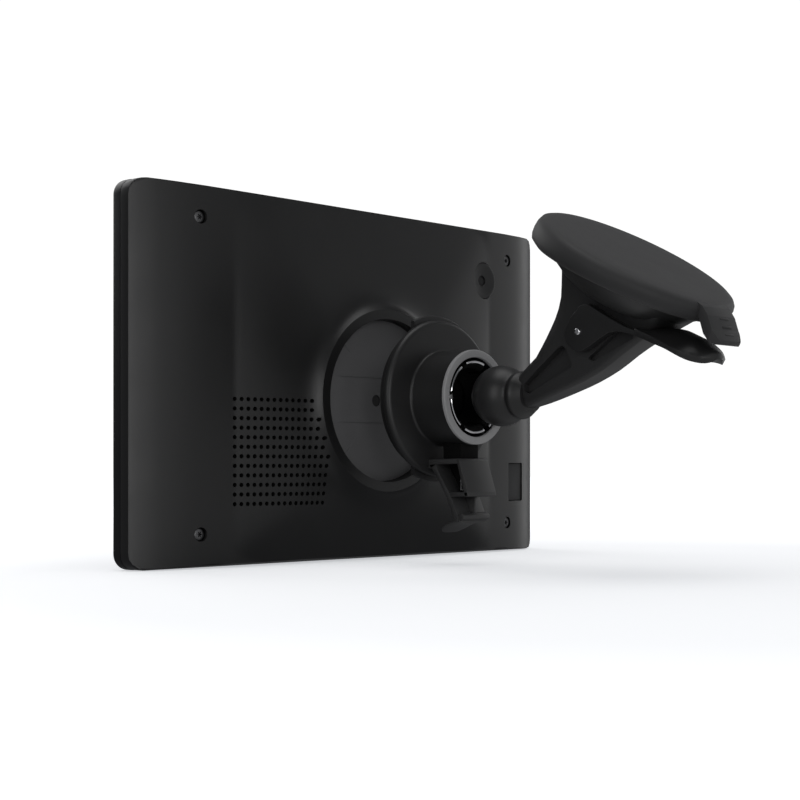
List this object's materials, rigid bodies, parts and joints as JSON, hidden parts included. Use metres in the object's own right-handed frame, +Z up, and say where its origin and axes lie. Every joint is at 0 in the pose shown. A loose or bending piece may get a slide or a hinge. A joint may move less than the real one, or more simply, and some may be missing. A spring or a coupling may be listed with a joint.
{
  "type": "portable GPS navigator",
  "caption": "Portable navigator with a magnetic dock head and a suction-cup arm, laid out along the docking axis as for a product view.",
  "frame": {"origin": "centre of the suction face, where the mount sticks to a windscreen", "axes": "+Z up, +Y the way the back of the navigator faces, +X to the left of someone looking at the back"},
  "size_m": [0.169, 0.1412, 0.1065],
  "materials": {
    "case_plastic": "satin moulded black, finely textured",
    "bezel_plastic": "smooth black",
    "screen": "polished, screen off",
    "display": "satin",
    "frame_metal": "satin",
    "steel": "satin",
    "black_screw": "satin black",
    "board": "satin solder mask",
    "gold": "polished",
    "battery_wrap": "satin foil",
    "ceramic": "matt",
    "dark_plastic": "matt",
    "card": "satin",
    "mount_plastic": "satin moulded black",
    "rim_plastic": "fine spark-eroded grain",
    "chrome": "polished",
    "liner": "smooth",
    "ball_plastic": "satin",
    "arm_plastic": "satin moulded black",
    "cup_rubber": "soft matt"
  },
  "bodies": {
    "bracket": {"arm_bracket": "arm_plastic", "ball": "ball_plastic", "suction_cup": "cup_rubber"},
    "lever": {"lever": "arm_plastic", "lever_cam": "dark_plastic", "pivot_pin": "steel"},
    "stem": {"cup_stem": "dark_plastic"},
    "pad": {"friction_pad": "steel"},
    "liner": {"bearing_cup": "liner"},
    "ring": {"spring_ring": "chrome"},
    "head": {"dock_plate": "mount_plastic", "dock_magnets": "steel", "pogo_pins": "gold", "pogo_board": "board", "head_screws": "steel", "head_shell": "mount_plastic", "rim_ring": "rim_plastic", "socket_collet": "dark_plastic", "port_bracket": "mount_plastic", "power_jack": "steel"},
    "navigator": {"front_bezel": "bezel_plastic", "screen_glass": "screen", "glass_tape": "dark_plastic", "lcd_panel": "display", "mid_frame": "frame_metal", "rear_cover": "case_plastic", "keeper_plate": "steel", "dock_contacts": "gold", "main_board": "board", "shield_cans": "steel", "battery": "battery_wrap", "gps_antenna": "ceramic", "speaker": "dark_plastic", "speaker_mesh": "dark_plastic", "mic_cap": "case_plastic", "microphone": "steel", "card_socket": "steel", "button_switch": "steel", "case_screws": "black_screw"},
    "power_button": {"power_button": "case_plastic"},
    "memory_card": {"memory_card": "card"}
  },
  "joints": [
    {"name": "lever_hinge", "type": "hinge", "parent": "bracket", "child": "lever", "pos_m": [0, -0.01404, -0.01908], "axis": [-1, 0, 0], "range_deg": [0, 70]},
    {"name": "stem_slide", "type": "slide", "parent": "bracket", "child": "stem", "axis": [0, 0.5225, 0.8526], "range_m": [0, 0.0026]},
    {"name": "ball_seat", "type": "slide", "parent": "bracket", "child": "pad", "axis": [0, 1, 0], "range_m": [0, 0.0138]},
    {"name": "head_tilt", "type": "hinge", "parent": "pad", "child": "liner", "pos_m": [0, -0.06007, -0.03474], "axis": [1, 0, 0], "range_deg": [-20, 20]},
    {"name": "head_pan", "type": "hinge", "parent": "liner", "child": "ring", "pos_m": [0, -0.06007, -0.03474], "axis": [0, 0, 1], "range_deg": [-20, 20]},
    {"name": "head_roll", "type": "hinge", "parent": "ring", "child": "head", "pos_m": [0, -0.06007, -0.03474], "axis": [0, 1, 0], "range_deg": [-90, 90]},
    {"name": "dock_seat", "type": "slide", "parent": "head", "child": "navigator", "axis": [0, 1, 0], "range_m": [0, 0.0195]},
    {"name": "power_press", "type": "slide", "parent": "navigator", "child": "power_button", "axis": [0, 0, -1], "range_m": [0, 0.0004], "stiffness_N_per_m": 1500, "springref_m": -0.0003},
    {"name": "card_eject", "type": "slide", "parent": "navigator", "child": "memory_card", "axis": [-1, 0, 0], "range_m": [0, 0.005]}
  ],
  "couplings": [
    {"joint": "stem_slide", "follows": "lever_hinge", "m_per_rad": 0.0020657}
  ]
}
